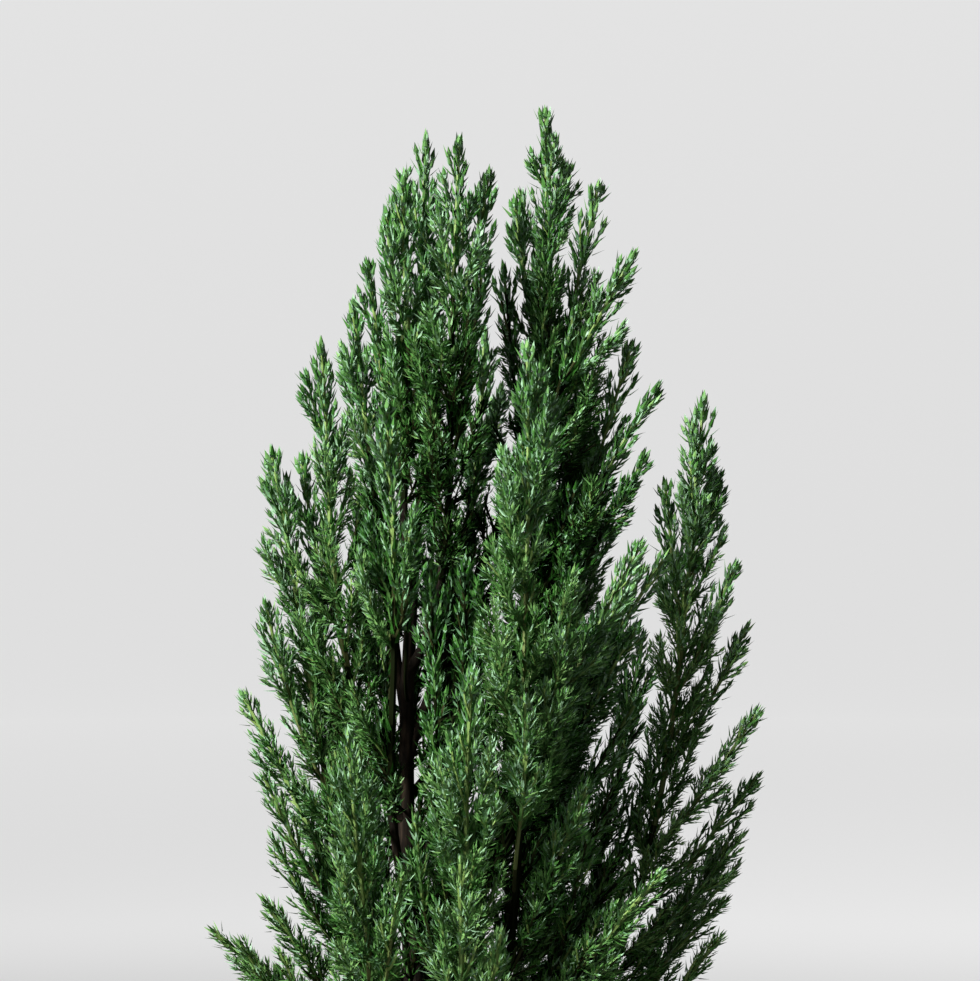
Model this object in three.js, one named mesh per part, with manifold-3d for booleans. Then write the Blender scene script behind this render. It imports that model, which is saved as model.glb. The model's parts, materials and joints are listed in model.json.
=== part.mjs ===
// A young Lawson cypress with feathery juvenile foliage, growing in a plain clay pot.
//
// Millimetres, +Z up. The origin is the centre of the pot's flat underside, with +X right and +Y to the
// back. A slim trunk rises from the compost to its fork. Upright leaders leave it on tapering boughs, and
// each leader ends in a mass of foliage: a stem with whorls of pointed leaves, and side shoots that carry
// whorls too. Each leaf stands for a spray of needles and is larger than life, so that few of them make a
// full crown.
import * as THREE from 'three';
import { mergeVertices } from 'three/addons/utils/BufferGeometryUtils.js';
import Module from 'manifold-3d';

const wasm = await Module();
wasm.setup();

// ---- driving dimensions ---------------------------------------------------------------------------------

const GAP = 0.3; // between pieces that touch
const SAMPLES = 40; // points along each line of the plant, for frames and distances

const POT = {
  footRadius: 45,
  topRadius: 60,
  height: 112,
  rimHeight: 24,
  rimOut: 4.5,
  chamfer: 2,
  wall: 5,
  floor: 8,
  sides: 32,
};
const COMPOST = {
  drop: 14, // of its edge below the pot's rim
  dome: 3, // rise from its edge to the trunk
  standRadius: 14, // flat ground round the trunk
  shoulder: 0.6, // where the dome is nearly at its height, as a share of the radius
  sides: 24,
};
const GROUND = POT.height - COMPOST.drop + COMPOST.dome;

const TRUNK = {
  height: 247, // of the fork, above the ground
  lean: [-12, -16, -8], // sideways pull at one third and two thirds of the height, and at the fork
  footRadius: 4.6,
  forkRadius: 1.9,
  flare: 3.4, // added to the radius at the ground
  flareHeight: 9, // over which the flare dies away
  sides: 8,
  steps: 12,
};

const BOUGH = {
  share: 0.24, // of its leader's length, where that is shorter than the longest bough
  longest: 56,
  bend: 0.1, // share of its rise by which it has swung out
  straighten: 0.6, // share of its rise by which it has turned upright
  tipRadius: 1.3,
  sway: 2.2, // of the whole leader, either way
  sides: 5,
  steps: 4,
};
const STEM = { whorl: 18, rootRadius: 2.8, tipRadius: 1.3, reach: 7.8 };
const SHOOT = {
  step: 21, // between side shoots along a leader
  first: 15, // distance of the first one from the leader's tip
  last: 6, // distance of the last one from the mass's foot
  share: 0.62, // its length, as a share of its distance from the leader's tip
  least: 9,
  shorten: 0.82, // for each new try where it doesn't fit
  slant: 0.66, // radians between a side shoot and its leader, at its root
  lift: 0.45, // share of that lost by its tip
  turn: 2.4, // radians round the leader from one side shoot to the next
  vary: 0.15, // share by which each of these may stray either way
  whorl: 15,
  rootRadius: 2.4,
  tipRadius: 1.1,
  reach: 6.8,
};
const LEAF = { forward: 1.1, tuftReach: 0.6, tuftBack: 0.3 }; // in whorl steps and reaches; a tuft ends a shoot
const CELL = { shootMargin: 2.4, leafMargin: 0.7, limbClear: 1.2 };

// Leaders. foot is the height above the ground where the bough leaves the trunk, tip is the leader's top
// from the trunk's foot (right, back, up), bow is how soon the bough swings out to its full reach, spread is
// the longest side shoot, and thick is the bough's radius at its root.
const LEADERS = [
  { name: 'top', foot: TRUNK.height, tip: [-5, 4, 388], bow: 0.3, spread: 30, thick: 1.9 },
  { name: 'right_outer', foot: 22, tip: [95, 0, 294], bow: 0.88, spread: 52, thick: 2.9 },
  { name: 'low_left', foot: 18, tip: [-81, -22, 106], bow: 0.1, spread: 30, thick: 1.9 },
  { name: 'low_right', foot: 14, tip: [78, -50, 129], bow: 0.15, spread: 34, thick: 2 },
  { name: 'low_front', foot: 12, tip: [8, -79, 136], bow: 0.8, spread: 28, thick: 1.8 },
  { name: 'front', foot: 34, tip: [31, -42, 311], bow: 1.15, spread: 44, thick: 2.7 },
  { name: 'left_outer', foot: 40, tip: [-60, -10, 275], bow: 0.48, spread: 22, thick: 2.4 },
  { name: 'right_top', foot: 52, tip: [38, 12, 398], bow: 1.2, spread: 48, thick: 2.8 },
  { name: 'front_left_low', foot: 30, tip: [-31, -54, 177], bow: 0.8, spread: 30, thick: 1.9 },
  { name: 'front_middle', foot: 56, tip: [12, -60, 199], bow: 0.9, spread: 30, thick: 1.8 },
  { name: 'left_edge', foot: 60, tip: [-72, 12, 187], bow: 0.2, spread: 32, thick: 1.9 },
  { name: 'right_low', foot: 42, tip: [74, 18, 208], bow: 0.75, spread: 36, thick: 2 },
  { name: 'right_base', foot: 8, tip: [108, 16, 140], bow: 0.55, spread: 34, thick: 1.9 },
  { name: 'right_inner', foot: 66, tip: [80, -26, 238], bow: 0.1, spread: 34, thick: 2.2 },
  { name: 'right_middle', foot: 112, tip: [78, 2, 298], bow: 0.05, spread: 32, thick: 2.1 },
  { name: 'right_high', foot: 162, tip: [70, -4, 346], bow: 0.05, spread: 30, thick: 2 },
  { name: 'front_left', foot: 112, tip: [-18, -36, 290], bow: 0.8, spread: 32, thick: 1.9 },
  { name: 'left_middle', foot: 142, tip: [-42, -16, 313], bow: 0.8, spread: 32, thick: 1.9 },
  { name: 'left_back', foot: 180, tip: [-32, 18, 329], bow: 0.3, spread: 26, thick: 1.7 },
  { name: 'top_front', foot: 196, tip: [7, -15, 385], bow: 0.9, spread: 32, thick: 1.8 },
  { name: 'top_left', foot: 222, tip: [-13, -13, 371], bow: 0.8, spread: 26, thick: 1.6 },
  { name: 'back_low_left', foot: 22, tip: [-38, 76, 142], bow: 0.7, spread: 32, thick: 1.9 },
  { name: 'back_low_right', foot: 36, tip: [44, 80, 166], bow: 0.7, spread: 34, thick: 2 },
  { name: 'back', foot: 60, tip: [6, 66, 244], bow: 0.85, spread: 38, thick: 2.3 },
  { name: 'back_left', foot: 80, tip: [-46, 50, 232], bow: 0.8, spread: 34, thick: 2 },
  { name: 'back_right', foot: 104, tip: [58, 48, 262], bow: 0.75, spread: 38, thick: 2.1 },
  { name: 'back_high', foot: 150, tip: [16, 40, 320], bow: 0.85, spread: 34, thick: 1.9 },
  { name: 'back_middle', foot: 132, tip: [-20, 42, 290], bow: 0.85, spread: 32, thick: 1.8 },
];

const material = (color, roughness) => new THREE.MeshStandardMaterial({ color, roughness, metalness: 0 });
const MATERIALS = {
  clay: material(0xb26a48, 0.85),
  compost: material(0x33261d, 1),
  bark: material(0x5b4334, 0.9),
  bough: material(0x6b5a3a, 0.85),
  foliage: material(0x2f5c3a, 0.6),
};

// ---- solids ---------------------------------------------------------------------------------------------

const LEFT = new THREE.Vector3(-1, 0, 0);
const FRONT = new THREE.Vector3(0, -1, 0);
const { lerp } = THREE.MathUtils;

// A geometry with its shared vertices merged, holding positions only.
function bare(geometry) {
  geometry.deleteAttribute('normal');
  geometry.deleteAttribute('uv');
  return mergeVertices(geometry, 1e-4);
}

function toSolid(geometry) {
  const merged = bare(geometry);
  return new wasm.Manifold(
    new wasm.Mesh({
      numProp: 3,
      vertProperties: new Float32Array(merged.attributes.position.array),
      triVerts: new Uint32Array(merged.index.array),
    }),
  );
}

function toGeometry(solid) {
  const mesh = solid.getMesh();
  const geometry = new THREE.BufferGeometry();
  geometry.setAttribute('position', new THREE.BufferAttribute(mesh.vertProperties, 3));
  geometry.setIndex(new THREE.BufferAttribute(mesh.triVerts, 1));
  return geometry;
}

// The main body of a solid, without loose scraps and with any sealed hollow filled.
const mainBody = (solid) => solid.decompose().sort((a, b) => b.volume() - a.volume())[0];

function addNode(group, name, geometry, finish) {
  geometry.computeVertexNormals();
  const mesh = new THREE.Mesh(geometry, finish);
  mesh.name = name;
  group.add(mesh);
}

// A repeatable stream of numbers from 0 to 1.
function seeded(seed) {
  let state = seed >>> 0;
  return () => {
    state = (Math.imul(state, 1664525) + 1013904223) >>> 0;
    return state / 2 ** 32;
  };
}

// ---- the plant's lines ----------------------------------------------------------------------------------

// The trunk's line. Its pulls sit at the thirds of its height, so that its height grows evenly along it.
const trunkCurve = new THREE.CubicBezierCurve3(
  ...[0, ...TRUNK.lean].map((sideways, i) => new THREE.Vector3(sideways, 0, (TRUNK.height * i) / 3)));

// A leader's line: it swings out from the trunk, turns upright, and sways a little on the way up.
class LeaderCurve extends THREE.Curve {
  constructor(leader, index) {
    super();
    const foot = trunkCurve.getPoint(leader.foot / TRUNK.height);
    const tip = new THREE.Vector3(...leader.tip);
    const out = tip.clone().sub(foot).setZ(0);
    const at = (share, height) => foot.clone().addScaledVector(out, share).setZ(lerp(foot.z, tip.z, height));
    this.line = new THREE.CubicBezierCurve3(
      foot, at(leader.bow, BOUGH.bend), at(0.45 + 0.5 * leader.bow, BOUGH.straighten), tip);
    this.sway = new THREE.Vector3(-out.y, out.x, 0).setLength(index % 2 ? BOUGH.sway : -BOUGH.sway);
    this.waves = 5 + (index % 3); // radians of sway from foot to tip
  }

  getPoint(t, target = new THREE.Vector3()) {
    this.line.getPoint(t, target);
    return target.addScaledVector(this.sway, Math.sin(this.waves * t) * Math.sin(Math.PI * t));
  }
}

// Each leader with its curve, its length, and the share of it that is bough.
const stems = LEADERS.map((leader, index) => {
  const curve = new LeaderCurve(leader, index);
  const length = curve.getLength();
  const start = leader.foot === TRUNK.height ? 0 : Math.min(BOUGH.share, BOUGH.longest / length);
  const points = curve.getSpacedPoints(SAMPLES);
  const boughPoints = points.slice(0, Math.ceil(start * SAMPLES) + 1);
  return { ...leader, curve, length, start, points, boughPoints };
});

// Distance from a place to a chain of points.
function distanceTo(points, place) {
  const line = new THREE.Line3();
  const nearest = new THREE.Vector3();
  let least = Infinity;
  for (let i = 0; i < points.length - 1; i += 1) {
    line.set(points[i], points[i + 1]).closestPointToPoint(place, true, nearest);
    least = Math.min(least, nearest.distanceTo(place));
  }
  return least;
}

// A place is in a stem's own space if that stem is nearer than every other one, by the margin.
function inOwnSpace(stem, place, margin) {
  const own = distanceTo(stem.points, place);
  return stems.every((other) => other === stem || distanceTo(other.points, place) > own + margin);
}

const trunkRadius = (t) => lerp(TRUNK.footRadius, TRUNK.forkRadius, t)
  + TRUNK.flare * Math.exp((-t * TRUNK.height) / TRUNK.flareHeight);

// Whether a place is clear of every limb: the trunk, and each bough up to where its mass begins.
const trunkPoints = trunkCurve.getSpacedPoints(SAMPLES);
function clearOfLimbs(place) {
  if (distanceTo(trunkPoints, place) < TRUNK.footRadius + CELL.limbClear) return false;
  return stems.every((stem) => distanceTo(stem.boughPoints, place) > stem.thick + CELL.limbClear);
}

// ---- limbs ----------------------------------------------------------------------------------------------

// A closed tube that tapers along a curve, from one share of it to another: a cylinder bent along the line.
// Its rings lie square to the curve, or level, as the trunk's do for a flat foot.
function limb(curve, from, to, radiusAt, sides, steps, level = false) {
  const geometry = bare(new THREE.CylinderGeometry(1, 1, 1, sides, steps));
  const frames = curve.computeFrenetFrames(SAMPLES);
  const position = geometry.attributes.position;
  const place = new THREE.Vector3();
  for (let i = 0; i < position.count; i += 1) {
    const t = lerp(from, to, position.getY(i) + 0.5);
    const frame = Math.round(t * SAMPLES);
    const radius = radiusAt(t);
    curve.getPointAt(t, place);
    place.addScaledVector(level ? LEFT : frames.normals[frame], -position.getX(i) * radius);
    place.addScaledVector(level ? FRONT : frames.binormals[frame], position.getZ(i) * radius);
    position.setXYZ(i, place.x, place.y, place.z);
  }
  return geometry;
}

const trunkSolid = (extra) => toSolid(
  limb(trunkCurve, 0, 1, (t) => trunkRadius(t) + extra, TRUNK.sides, TRUNK.steps, true));

function boughSolid(stem) {
  const radiusAt = (t) => lerp(stem.thick, BOUGH.tipRadius, t / stem.start);
  const whole = toSolid(limb(stem.curve, 0, stem.start, radiusAt, BOUGH.sides, BOUGH.steps));
  return mainBody(whole.subtract(trunkSolid(GAP)));
}

// ---- foliage --------------------------------------------------------------------------------------------

// A shoot with whorls of three leaves. Its rings of three corners turn by a sixth from one to the next, and
// each face between them that points up the shoot is drawn out to a leaf, where a leaf is allowed. The first
// stretch is bare, and three short leaves make a tuft round the tip.
function whorledShoot({ curve, from = 0, whorls, radiusAt, reach, forward, allowed }) {
  const frames = curve.computeFrenetFrames(SAMPLES);
  const sixth = Math.PI / 3;
  const vertices = [];
  const faces = [];
  const place = (u, sixths, radius, ahead = 0) => {
    const t = lerp(from, 1, u);
    const frame = Math.round(t * SAMPLES);
    return curve.getPointAt(t)
      .addScaledVector(frames.normals[frame], Math.cos(sixths * sixth) * radius)
      .addScaledVector(frames.binormals[frame], Math.sin(sixths * sixth) * radius)
      .addScaledVector(frames.tangents[frame], ahead);
  };
  const put = (point) => vertices.push(...point) / 3 - 1;

  const rings = Array.from({ length: whorls }, (_, k) => [0, 2, 4]
    .map((turn) => put(place(k / whorls, k + turn, radiusAt(k / whorls)))));
  faces.push([rings[0][0], rings[0][2], rings[0][1]]);
  for (let k = 0; k < whorls - 1; k += 1) {
    for (let i = 0; i < 3; i += 1) {
      const [a, b] = [rings[k][i], rings[k][(i + 1) % 3]];
      const [c, d] = [rings[k + 1][i], rings[k + 1][(i + 1) % 3]];
      faces.push([c, b, d]);
      const leafTip = place(k / whorls, k + 2 * i + 1, reach, forward);
      if (k > 0 && allowed(leafTip)) {
        const tip = put(leafTip);
        faces.push([a, b, tip], [b, c, tip], [c, a, tip]);
      } else {
        faces.push([a, b, c]);
      }
    }
  }
  const last = rings[whorls - 1];
  const end = put(curve.getPointAt(1));
  for (let i = 0; i < 3; i += 1) {
    const [a, b] = [last[i], last[(i + 1) % 3]];
    const tip = put(place(1, whorls + 2 * i, reach * LEAF.tuftReach, -forward * LEAF.tuftBack));
    faces.push([a, b, tip], [b, end, tip], [end, a, tip]);
  }

  const geometry = new THREE.BufferGeometry();
  geometry.setAttribute('position', new THREE.Float32BufferAttribute(vertices, 3));
  geometry.setIndex(faces.flat());
  return geometry;
}

// The line of one side shoot: it leaves the stem at a slant, to the side that outward points to, and bends
// up.
function shootCurve(root, ahead, outward, slant, length) {
  const heading = (angle) => ahead.clone().multiplyScalar(Math.cos(angle))
    .addScaledVector(outward, Math.sin(angle));
  const middle = root.clone().addScaledVector(heading(slant), length / 2);
  const tip = middle.clone().addScaledVector(heading(slant * (1 - SHOOT.lift)), length / 2);
  return new THREE.QuadraticBezierCurve3(root, middle, tip);
}

// The side shoots of a leader, from its tip down, each further round the stem than the one above. One that
// would leave the leader's own space, or touch a limb, is shortened, and left out where it would be too
// short.
function sideShoots(stem, index) {
  const random = seeded(index * 97 + 11);
  const vary = () => 1 + SHOOT.vary * (2 * random() - 1);
  const leafy = stem.length * (1 - stem.start);
  const fits = (curve) => [0.5, 0.75, 1].map((u) => curve.getPoint(u))
    .every((place) => inOwnSpace(stem, place, CELL.shootMargin) && clearOfLimbs(place));
  const shoots = [];
  let round = random() * 2 * Math.PI;
  for (let below = SHOOT.first; below < leafy - SHOOT.last; below += SHOOT.step * vary()) {
    round += SHOOT.turn * vary();
    const slant = SHOOT.slant * vary();
    const t = 1 - below / stem.length;
    const root = stem.curve.getPointAt(t);
    const ahead = stem.curve.getTangentAt(t);
    const outward = new THREE.Vector3(Math.cos(round), Math.sin(round), 0).projectOnPlane(ahead).normalize();
    let length = Math.min(SHOOT.share * below, stem.spread) * vary();
    let curve = shootCurve(root, ahead, outward, slant, length);
    while (length > SHOOT.least && !fits(curve)) {
      length *= SHOOT.shorten;
      curve = shootCurve(root, ahead, outward, slant, length);
    }
    if (length > SHOOT.least) shoots.push({ curve, length });
  }
  return shoots;
}

// A leader's mass of foliage: its stem, from just past the bough's tip, and its side shoots, fused to it.
function massSolid(stem, index) {
  const allowed = (place) => inOwnSpace(stem, place, CELL.leafMargin) && clearOfLimbs(place);
  const from = stem.start + GAP / stem.length;
  const stemShoot = whorledShoot({
    curve: stem.curve,
    from,
    whorls: Math.round((stem.length * (1 - from)) / STEM.whorl),
    radiusAt: (u) => (u === 0 ? BOUGH.tipRadius : lerp(STEM.rootRadius, STEM.tipRadius, u)),
    reach: STEM.reach,
    forward: STEM.whorl * LEAF.forward,
    allowed,
  });
  const shoots = sideShoots(stem, index).map(({ curve, length }) => {
    const whorls = Math.max(2, Math.round(length / SHOOT.whorl) + 1);
    return whorledShoot({
      curve,
      whorls,
      radiusAt: (u) => lerp(SHOOT.rootRadius, SHOOT.tipRadius, u),
      reach: SHOOT.reach,
      forward: (length / whorls) * LEAF.forward,
      allowed,
    });
  });
  return mainBody(wasm.Manifold.union([stemShoot, ...shoots].map(toSolid)));
}

// ---- pot and compost ------------------------------------------------------------------------------------

// A solid of revolution about +Z from points given as radius and height.
function turned(points, sides) {
  const geometry = new THREE.LatheGeometry(points.map(([r, z]) => new THREE.Vector2(r, z)), sides);
  return geometry.rotateX(Math.PI / 2);
}

const outerRadius = (z) => lerp(POT.footRadius, POT.topRadius, z / POT.height);
const innerRadius = (z) => outerRadius(z) - POT.wall;

function potGeometry() {
  const rimZ = POT.height - POT.rimHeight;
  return turned([
    [0, 0],
    [POT.footRadius, 0],
    [outerRadius(rimZ), rimZ],
    [outerRadius(rimZ) + POT.rimOut, rimZ + POT.chamfer],
    [POT.topRadius + POT.rimOut, POT.height - POT.chamfer],
    [POT.topRadius + POT.rimOut - POT.chamfer, POT.height],
    [innerRadius(POT.height), POT.height],
    [innerRadius(POT.floor), POT.floor],
    [0, POT.floor],
  ], POT.sides);
}

// The compost fills the pot. Its corners stay inside the pot's flat faces.
function compostGeometry() {
  const level = POT.height - COMPOST.drop;
  const fit = (z) => innerRadius(z) * Math.cos(Math.PI / POT.sides) - GAP;
  return turned([
    [0, POT.floor + GAP],
    [fit(POT.floor), POT.floor + GAP],
    [fit(level), level],
    [COMPOST.shoulder * fit(level), GROUND - COMPOST.dome * (1 - COMPOST.shoulder)],
    [COMPOST.standRadius, GROUND],
    [0, GROUND],
  ], COMPOST.sides);
}

// ---- the tree -------------------------------------------------------------------------------------------

const tree = new THREE.Group();
addNode(tree, 'pot', potGeometry(), MATERIALS.clay);
addNode(tree, 'compost', compostGeometry(), MATERIALS.compost);

const plant = new THREE.Group();
plant.position.z = GROUND + GAP;
tree.add(plant);
addNode(plant, 'trunk', toGeometry(trunkSolid(0)), MATERIALS.bark);
stems.forEach((stem, index) => {
  if (stem.start > 0) addNode(plant, `bough_${stem.name}`, toGeometry(boughSolid(stem)), MATERIALS.bough);
  addNode(plant, `foliage_${stem.name}`, toGeometry(massSolid(stem, index)), MATERIALS.foliage);
});

export default tree;
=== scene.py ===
# The looks of a young Lawson cypress in a plain clay pot, on the frame that the CAD model gives.
#
# The plant grows by the same rule as the solids, carried on to finer twigs: leaders rise from the trunk on
# boughs, branches leave each leader in pairs, branchlets the longer branches and twiglets the longer
# branchlets, and all bear pairs of awl-shaped needles. Lengths are in millimetres, and MM makes them metres.
import json
import math
from collections import namedtuple
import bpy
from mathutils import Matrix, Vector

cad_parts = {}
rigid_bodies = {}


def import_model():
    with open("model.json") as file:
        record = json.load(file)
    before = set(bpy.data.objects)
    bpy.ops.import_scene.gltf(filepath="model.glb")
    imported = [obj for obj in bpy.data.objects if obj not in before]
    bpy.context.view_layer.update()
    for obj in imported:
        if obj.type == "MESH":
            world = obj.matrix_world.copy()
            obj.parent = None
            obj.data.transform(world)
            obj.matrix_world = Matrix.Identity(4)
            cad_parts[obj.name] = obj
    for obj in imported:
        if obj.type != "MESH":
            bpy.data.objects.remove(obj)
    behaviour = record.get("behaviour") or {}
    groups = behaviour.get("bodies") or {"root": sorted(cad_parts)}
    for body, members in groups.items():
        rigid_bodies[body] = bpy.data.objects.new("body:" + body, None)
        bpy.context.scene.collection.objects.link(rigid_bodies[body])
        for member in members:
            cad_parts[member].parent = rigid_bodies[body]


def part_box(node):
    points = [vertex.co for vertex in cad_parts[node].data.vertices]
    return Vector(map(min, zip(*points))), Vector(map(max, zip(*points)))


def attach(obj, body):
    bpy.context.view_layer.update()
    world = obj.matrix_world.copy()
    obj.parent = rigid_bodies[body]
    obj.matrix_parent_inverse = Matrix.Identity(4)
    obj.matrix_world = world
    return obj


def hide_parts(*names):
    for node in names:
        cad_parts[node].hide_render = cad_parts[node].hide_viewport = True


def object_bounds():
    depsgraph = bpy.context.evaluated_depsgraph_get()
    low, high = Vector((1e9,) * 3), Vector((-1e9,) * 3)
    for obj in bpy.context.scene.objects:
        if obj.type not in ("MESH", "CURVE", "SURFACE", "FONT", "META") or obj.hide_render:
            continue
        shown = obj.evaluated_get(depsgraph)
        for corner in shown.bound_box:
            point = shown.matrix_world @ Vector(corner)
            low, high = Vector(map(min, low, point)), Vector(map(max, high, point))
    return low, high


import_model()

from types import SimpleNamespace as Values

import bpy
import numpy as np
from mathutils import Vector

MM = 0.001
CAD_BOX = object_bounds()
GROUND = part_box("trunk")[0].z
TOP = CAD_BOX[1].z

# ---- driving values ----

# Each leader, side leader and inner spray has a seed of its own, counted from these.
SEEDS = Values(step=97, first=11, offshoots=100, inner_sprays=200, trunk=3, compost=71, surface=72)
ANY_TURN = (0, 6.3)  # the range of a random angle
AXIS = 0.01  # the radius at which a solid of revolution closes
UP = np.array((0.0, 0.0, 1.0))
SKEW = np.array((0.31, 0.17, 0.93))  # the direction that the tubes' first side faces
SEAM = np.array((1.0, 0.02, 0.05))  # the same for bark

# height is the fork's above the ground, and lean how far the line is pulled aside on its way there.
TRUNK = Values(height=247, lean=(-12, -16, -8), points=200, foot=4.6, fork=1.9, flare=3.4, flare_height=9)
# A bough is the bare foot of a leader, with its radius at the end. It swells by collar at the trunk.
BOUGH = Values(share=0.24, longest=56, tip=1.45, collar=0.5, collar_length=4)
# A leader's line is pulled to the heights bend and straighten, as shares of the rise, first out by its bow
# and then to end_out and end_bow times its bow. It sways a little from side to side.
LINE = Values(
    bend=0.1, straighten=0.6, end_out=0.45, end_bow=0.5, points=161, sway=2.2, sway_share=0.012, sway_turn=5,
    sway_kinds=3)
SIDE_LINE = Values(bend=0.25, straighten=0.62)  # for a side leader, which hardly turns up

# foot is the height on the trunk, spread the longest side branch, and thick the radius at the root.
Leader = namedtuple("Leader", "name foot tip bow spread thick group")
LEADERS = [Leader(*row) for row in (
    ("top", 247, (-5, 4, 388), 0.3, 30, 1.9, "crown"),
    ("right_outer", 22, (95, 0, 294), 0.88, 25, 2.9, "right"),
    ("low_left", 18, (-81, -22, 106), 0.1, 26, 1.9, "left"),
    ("low_right", 14, (78, -50, 129), 0.15, 34, 2, "low"),
    ("low_front", 12, (8, -79, 136), 0.8, 28, 1.8, "low"),
    ("front", 34, (31, -42, 311), 1.15, 44, 2.7, "front"),
    ("left_outer", 40, (-60, -10, 275), 0.48, 22, 2.4, "left"),
    ("right_top", 52, (38, 12, 398), 1.2, 48, 2.8, "crown"),
    ("front_left_low", 30, (-31, -54, 177), 0.8, 30, 1.9, "low"),
    ("front_middle", 56, (12, -60, 199), 0.9, 30, 1.8, "front"),
    ("left_edge", 60, (-72, 12, 187), 0.2, 22, 1.9, "left"),
    ("right_low", 42, (74, 18, 208), 0.75, 36, 2, "right"),
    ("right_base", 8, (108, 16, 140), 0.55, 34, 1.9, "right"),
    ("right_inner", 66, (80, -26, 238), 0.1, 34, 2.2, "right"),
    ("right_middle", 112, (78, 2, 298), 0.05, 32, 2.1, "right"),
    ("right_high", 162, (70, -4, 346), 0.05, 30, 2, "crown"),
    ("front_left", 112, (-18, -36, 290), 0.8, 32, 1.9, "left"),
    ("left_middle", 142, (-42, -16, 313), 0.8, 32, 1.9, "left"),
    ("left_back", 180, (-32, 18, 329), 0.3, 26, 1.7, "left"),
    ("top_front", 196, (7, -15, 385), 0.9, 32, 1.8, "crown"),
    ("top_left", 222, (-13, -13, 371), 0.8, 26, 1.6, "crown"),
    ("back_low_left", 22, (-38, 76, 142), 0.7, 32, 1.9, "back"),
    ("back_low_right", 36, (44, 80, 166), 0.7, 34, 2, "back"),
    ("back", 60, (6, 66, 244), 0.85, 38, 2.3, "back"),
    ("back_left", 80, (-46, 50, 232), 0.8, 34, 2, "back"),
    ("back_right", 104, (58, 48, 262), 0.75, 38, 2.1, "back"),
    ("back_high", 150, (16, 40, 320), 0.85, 34, 1.9, "back"),
    ("back_middle", 132, (-20, 42, 290), 0.85, 32, 1.8, "back"),
)]
# Each group's coarseness: 1 is life size, and more is fewer and larger needles.
GROUPS = {"crown": 1, "front": 1, "low": 1, "left": 1, "right": 1.06, "back": 1.15}

# Strong side leaders, which leave a leader at a share of its length.
Offshoot = namedtuple("Offshoot", "parent share tip bow spread")
OFFSHOOTS = [Offshoot(*row) for row in (
    ("right_top", 0.70, (57, 4, 371), 0.3, 12),
    ("right_top", 0.46, (69, 6, 313), 0.3, 14),
    ("right_top", 0.68, (27, 10, 365), 0.4, 10),
    ("right_top", 0.50, (23, 6, 341), 0.5, 12),
    ("right_middle", 0.45, (74, -4, 273), 0.4, 13),
    ("right_inner", 0.55, (70, -34, 214), 0.4, 14),
    ("top_front", 0.55, (17.5, -8, 374), 0.5, 12),
    ("top_front", 0.4, (16, -16, 345), 0.5, 12),
    ("left_middle", 0.4, (-50, 2, 272), 0.5, 14),
    ("left_outer", 0.5, (-62, -16, 221), 0.5, 8),
    ("left_outer", 0.3, (-63, -14, 160), 0.5, 12),
    ("left_outer", 0.22, (-61, -4, 138), 0.5, 12),
    ("low_left", 0.4, (-56, -34, 100), 0.5, 14),
    ("low_left", 0.5, (-70, -36, 104), 0.5, 12),
    ("right_outer", 0.24, (104, 4, 114), 0.4, 13),
    ("right_outer", 0.30, (110, 6, 137), 0.4, 13),
    ("right_outer", 0.38, (115, 4, 158), 0.4, 15),
    ("right_outer", 0.46, (114, -8, 182), 0.4, 17),
    ("right_outer", 0.56, (111, 4, 212), 0.4, 12),
    ("right_outer", 0.65, (106, -4, 234), 0.4, 11),
    ("right_outer", 0.78, (101, 3, 262), 0.4, 9),
    ("right_outer", 0.72, (81, 0, 263), 0.4, 6),
    ("front", 0.3, (30, -70, 190), 0.5, 20),
    ("front", 0.42, (48, -52, 228), 0.4, 20),
    ("front", 0.5, (71, -34, 242), 0.3, 18),
    ("right_low", 0.45, (82, -4, 172), 0.4, 14),
    ("low_right", 0.35, (52, -40, 140), 0.5, 16),
    ("right_base", 0.45, (101, -6, 102), 0.4, 14),
    ("low_left", 0.25, (-62, -30, 118), 0.15, 16),
    ("front_middle", 0.25, (-8, -56, 148), 0.6, 18),
    ("low_front", 0.35, (22, -76, 112), 0.5, 20),
    ("front_left_low", 0.4, (-12, -70, 130), 0.5, 18),
    ("front_middle", 0.3, (-3, -34, 235), 0.5, 14),
    ("back", 0.5, (-4, 22, 262), 0.5, 16),
    ("front", 0.2, (68, -22, 128), 0.35, 14),
    ("front", 0.25, (52, -50, 160), 0.4, 16),
    ("front", 0.28, (66, -14, 160), 0.35, 16),
    ("front", 0.36, (70, -20, 186), 0.35, 16),
    ("top_left", 0.45, (-19, -10, 360), 0.5, 12),
    ("top_left", 0.3, (-26, -4, 342), 0.5, 12),
    ("front_left_low", 0.5, (-21, -38, 150), 0.4, 14),
    ("back_low_left", 0.3, (-19, 32, 152), 0.4, 16),
    ("front_left", 0.56, (-8, -37, 246), 0.7, 12),
    ("front_middle", 0.5, (9, -30, 236), 0.5, 14),
)]
# Sprays that leave the trunk itself, each turned by the golden angle. None grows in the gap.
INNER_SPRAYS = Values(
    count=44, lowest=6, highest=225, turn=2.4, out=24, up=34, bow=0.7, spread=15, bare=3, thick=0.6,
    gap=(168, 216), gap_turns=(2.4, 4.4))
SIDE = Values(bare=2, thick=0.75)  # a side leader's bare foot and the radius of its stem
# The stem within the foliage: nearly black where it is deep in the crown, partly for older brown or tan wood
# and partly as painted shade, else olive, and light at its tip.
STEM = Values(
    overlap=1, before_tip=1.5, tip=0.6, sides=6, rings=40, needle_steps=100, brown_depth=0.36, tan_depth=0.28,
    green=170, green_share=0.85, light_height=0.5, facing=(0.6, -0.8, 0))

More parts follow.
